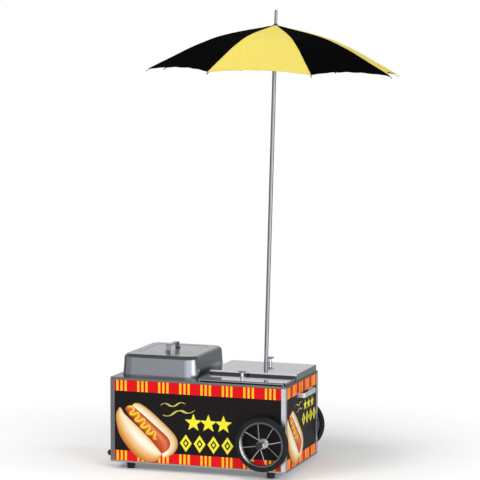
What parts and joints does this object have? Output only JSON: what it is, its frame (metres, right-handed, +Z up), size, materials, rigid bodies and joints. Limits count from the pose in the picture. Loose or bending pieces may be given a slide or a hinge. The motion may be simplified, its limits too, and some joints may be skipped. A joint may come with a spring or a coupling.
{
  "type": "hot dog steamer cart with umbrella",
  "caption": "Countertop food steamer styled as a vending cart: printed cabinet, dome lid over a steam well, flat lids over a bun compartment, spoked side wheels and a folding umbrella.",
  "frame": {"origin": "centre of the underside of the base pan; the feet reach 31 mm below it", "axes": "+X along the front to the right (steam well on the left, bun compartment on the right), -Y out of the front, +Z up"},
  "size_m": [1.1928, 1.0809, 1.9296],
  "materials": {
    "stainless": "brushed, satin",
    "deck_steel": "satin sheet",
    "lid_steel": "polished satin",
    "dome_steel": "drawn and polished",
    "trim": "satin",
    "panel_print": "printed film over steel sheet",
    "panel_back": "black powder coat",
    "chrome": "bright",
    "pole_steel": "polished tube",
    "rubber": "matt black",
    "tyre": "matt black, moulded",
    "black_plastic": "moulded",
    "switch_red": "gloss",
    "lamp_amber": "translucent look, gloss",
    "brass": "plain",
    "heater": "heat tinted sheath",
    "zinc": "zinc plated",
    "cord": "flexible, black",
    "canopy": "woven polyester, yellow and black gores"
  },
  "bodies": {
    "cabinet": {"base_pan": "stainless", "corner_posts": "trim", "front_panel": "panel_print", "back_panel": "panel_back", "left_panel": "panel_print", "right_panel": "panel_print", "deck": "deck_steel", "water_pan": "stainless", "hot_dog_pan": "stainless", "heating_element": "heater", "drain_valve": "brass", "bun_pan": "stainless", "umbrella_socket": "pole_steel", "thermostat": "black_plastic", "power_switch": "black_plastic", "pilot_lamp": "lamp_amber", "power_cord": "cord", "feet": "rubber", "end_handles": "chrome", "screws": "zinc", "hinge_brackets": "stainless", "stub_axles": "chrome", "axle_nuts": "zinc"},
    "dome_lid": {"dome_lid": "dome_steel", "dome_handle": "stainless"},
    "front_lid": {"front_lid": "lid_steel", "front_lid_knob": "chrome"},
    "rear_lid": {"rear_lid": "lid_steel", "rear_lid_knob": "chrome"},
    "drain_knob": {"drain_knob": "black_plastic"},
    "thermostat_knob": {"thermostat_knob": "black_plastic"},
    "power_rocker": {"power_rocker": "switch_red"},
    "front_wheel": {"front_wheel": "chrome", "front_tyre": "tyre", "front_hub_cap": "black_plastic"},
    "rear_wheel": {"rear_wheel": "chrome", "rear_tyre": "tyre", "rear_hub_cap": "black_plastic"},
    "lower_pole": {"pole_lower": "pole_steel"},
    "upper_pole": {"pole_upper": "pole_steel", "crown": "black_plastic", "ferrule": "black_plastic", "canopy": "canopy"},
    "runner": {"runner": "black_plastic"},
    "rib_1": {"rib_1": "zinc"},
    "stretcher_1": {"stretcher_1": "zinc"},
    "rib_2": {"rib_2": "zinc"},
    "stretcher_2": {"stretcher_2": "zinc"},
    "rib_3": {"rib_3": "zinc"},
    "stretcher_3": {"stretcher_3": "zinc"},
    "rib_4": {"rib_4": "zinc"},
    "stretcher_4": {"stretcher_4": "zinc"},
    "rib_5": {"rib_5": "zinc"},
    "stretcher_5": {"stretcher_5": "zinc"},
    "rib_6": {"rib_6": "zinc"},
    "stretcher_6": {"stretcher_6": "zinc"},
    "rib_7": {"rib_7": "zinc"},
    "stretcher_7": {"stretcher_7": "zinc"},
    "rib_8": {"rib_8": "zinc"},
    "stretcher_8": {"stretcher_8": "zinc"}
  },
  "joints": [
    {"name": "dome_lift", "type": "slide", "parent": "cabinet", "child": "dome_lid", "axis": [0, 0, 1], "range_m": [0, 0.25]},
    {"name": "front_lid_hinge", "type": "hinge", "parent": "cabinet", "child": "front_lid", "pos_m": [0.1905, -0.211, 0.367], "axis": [1, 0, 0], "range_deg": [0, 100]},
    {"name": "rear_lid_lift", "type": "slide", "parent": "cabinet", "child": "rear_lid", "axis": [0.0211, 0.0187, 0.9996], "range_m": [0, 0.25]},
    {"name": "drain_turn", "type": "hinge", "parent": "cabinet", "child": "drain_knob", "pos_m": [-0.38, -0.176, 0.026], "axis": [1, 0, 0], "range_deg": [0, 90]},
    {"name": "thermostat_turn", "type": "hinge", "parent": "cabinet", "child": "thermostat_knob", "pos_m": [-0.25, 0.23, 0.112], "axis": [0, 1, 0], "range_deg": [0, 270]},
    {"name": "power_rock", "type": "hinge", "parent": "cabinet", "child": "power_rocker", "pos_m": [-0.172, 0.2253, 0.112], "axis": [1, 0, 0], "range_deg": [0, 16]},
    {"name": "front_wheel_spin", "type": "hinge", "parent": "cabinet", "child": "front_wheel", "pos_m": [0.2945, -0.255, 0.12], "axis": [0, 1, 0], "continuous": true},
    {"name": "rear_wheel_spin", "type": "hinge", "parent": "cabinet", "child": "rear_wheel", "pos_m": [0.2945, 0.255, 0.12], "axis": [0, 1, 0], "continuous": true},
    {"name": "umbrella_lift", "type": "slide", "parent": "cabinet", "child": "lower_pole", "axis": [0.0211, 0.0187, 0.9996], "range_m": [0, 0.25]},
    {"name": "umbrella_turn", "type": "hinge", "parent": "lower_pole", "child": "upper_pole", "pos_m": [0.22062, 0.08032, 1.12171], "axis": [0.0211, 0.0187, 0.9996], "continuous": true},
    {"name": "runner_slide", "type": "slide", "parent": "upper_pole", "child": "runner", "axis": [-0.0211, -0.0187, -0.9996], "range_m": [0, 0.422], "deforming": ["canopy"]},
    {"name": "rib_1_hinge", "type": "hinge", "parent": "upper_pole", "child": "rib_1", "pos_m": [0.2325, 0.07874, 1.82477], "axis": [0.9801, -0.1976, -0.017], "range_deg": [0, 66.01]},
    {"name": "stretcher_1_hinge", "type": "hinge", "parent": "rib_1", "child": "stretcher_1", "pos_m": [0.17683, -0.19205, 1.7632], "axis": [0.9801, -0.1976, -0.017], "range_deg": [-132.02, 0]},
    {"name": "rib_2_hinge", "type": "hinge", "parent": "upper_pole", "child": "rib_2", "pos_m": [0.24376, 0.08095, 1.82449], "axis": [0.8325, 0.5533, -0.0279], "range_deg": [0, 66.01]},
    {"name": "stretcher_2_hinge", "type": "hinge", "parent": "rib_2", "child": "stretcher_2", "pos_m": [0.39457, -0.14933, 1.75781], "axis": [0.8325, 0.5533, -0.0279], "range_deg": [-132.02, 0]},
    {"name": "rib_3_hinge", "type": "hinge", "parent": "upper_pole", "child": "rib_3", "pos_m": [0.25016, 0.09048, 1.82417], "axis": [0.1972, 0.9801, -0.0225], "range_deg": [0, 66.01]},
    {"name": "stretcher_3_hinge", "type": "hinge", "parent": "rib_3", "child": "stretcher_3", "pos_m": [0.51826, 0.03487, 1.75175], "axis": [0.1972, 0.9801, -0.0225], "range_deg": [-132.02, 0]},
    {"name": "rib_4_hinge", "type": "hinge", "parent": "upper_pole", "child": "rib_4", "pos_m": [0.24794, 0.10174, 1.82401], "axis": [-0.5536, 0.8328, -0.0039], "range_deg": [0, 66.01]},
    {"name": "stretcher_4_hinge", "type": "hinge", "parent": "rib_4", "child": "stretcher_4", "pos_m": [0.47545, 0.25263, 1.74859], "axis": [-0.5536, 0.8328, -0.0039], "range_deg": [-132.02, 0]},
    {"name": "rib_5_hinge", "type": "hinge", "parent": "upper_pole", "child": "rib_5", "pos_m": [0.23841, 0.10814, 1.82409], "axis": [-0.9801, 0.1976, 0.017], "range_deg": [0, 66.01]},
    {"name": "stretcher_5_hinge", "type": "hinge", "parent": "rib_5", "child": "stretcher_5", "pos_m": [0.29122, 0.37641, 1.75017], "axis": [-0.9801, 0.1976, 0.017], "range_deg": [-132.02, 0]},
    {"name": "rib_6_hinge", "type": "hinge", "parent": "upper_pole", "child": "rib_6", "pos_m": [0.22715, 0.10593, 1.82437], "axis": [-0.8325, -0.5533, 0.0279], "range_deg": [0, 66.01]},
    {"name": "stretcher_6_hinge", "type": "hinge", "parent": "rib_6", "child": "stretcher_6", "pos_m": [0.07348, 0.33368, 1.75557], "axis": [-0.8325, -0.5533, 0.0279], "range_deg": [-132.02, 0]},
    {"name": "rib_7_hinge", "type": "hinge", "parent": "upper_pole", "child": "rib_7", "pos_m": [0.22075, 0.09641, 1.82468], "axis": [-0.1972, -0.9801, 0.0225], "range_deg": [0, 66.01]},
    {"name": "stretcher_7_hinge", "type": "hinge", "parent": "rib_7", "child": "stretcher_7", "pos_m": [-0.05021, 0.14949, 1.76162], "axis": [-0.1972, -0.9801, 0.0225], "range_deg": [-132.02, 0]},
    {"name": "rib_8_hinge", "type": "hinge", "parent": "upper_pole", "child": "rib_8", "pos_m": [0.22297, 0.08514, 1.82485], "axis": [0.5536, -0.8328, 0.0039], "range_deg": [0, 66.01]},
    {"name": "stretcher_8_hinge", "type": "hinge", "parent": "rib_8", "child": "stretcher_8", "pos_m": [-0.00741, -0.06828, 1.76478], "axis": [0.5536, -0.8328, 0.0039], "range_deg": [-132.02, 0]}
  ],
  "couplings": [
    {"joint": "rib_1_hinge", "follows": "runner_slide", "rad_per_m": 2.7297},
    {"joint": "stretcher_1_hinge", "follows": "runner_slide", "rad_per_m": -5.4593},
    {"joint": "rib_2_hinge", "follows": "runner_slide", "rad_per_m": 2.7297},
    {"joint": "stretcher_2_hinge", "follows": "runner_slide", "rad_per_m": -5.4593},
    {"joint": "rib_3_hinge", "follows": "runner_slide", "rad_per_m": 2.7297},
    {"joint": "stretcher_3_hinge", "follows": "runner_slide", "rad_per_m": -5.4593},
    {"joint": "rib_4_hinge", "follows": "runner_slide", "rad_per_m": 2.7297},
    {"joint": "stretcher_4_hinge", "follows": "runner_slide", "rad_per_m": -5.4593},
    {"joint": "rib_5_hinge", "follows": "runner_slide", "rad_per_m": 2.7297},
    {"joint": "stretcher_5_hinge", "follows": "runner_slide", "rad_per_m": -5.4593},
    {"joint": "rib_6_hinge", "follows": "runner_slide", "rad_per_m": 2.7297},
    {"joint": "stretcher_6_hinge", "follows": "runner_slide", "rad_per_m": -5.4593},
    {"joint": "rib_7_hinge", "follows": "runner_slide", "rad_per_m": 2.7297},
    {"joint": "stretcher_7_hinge", "follows": "runner_slide", "rad_per_m": -5.4593},
    {"joint": "rib_8_hinge", "follows": "runner_slide", "rad_per_m": 2.7297},
    {"joint": "stretcher_8_hinge", "follows": "runner_slide", "rad_per_m": -5.4593}
  ]
}
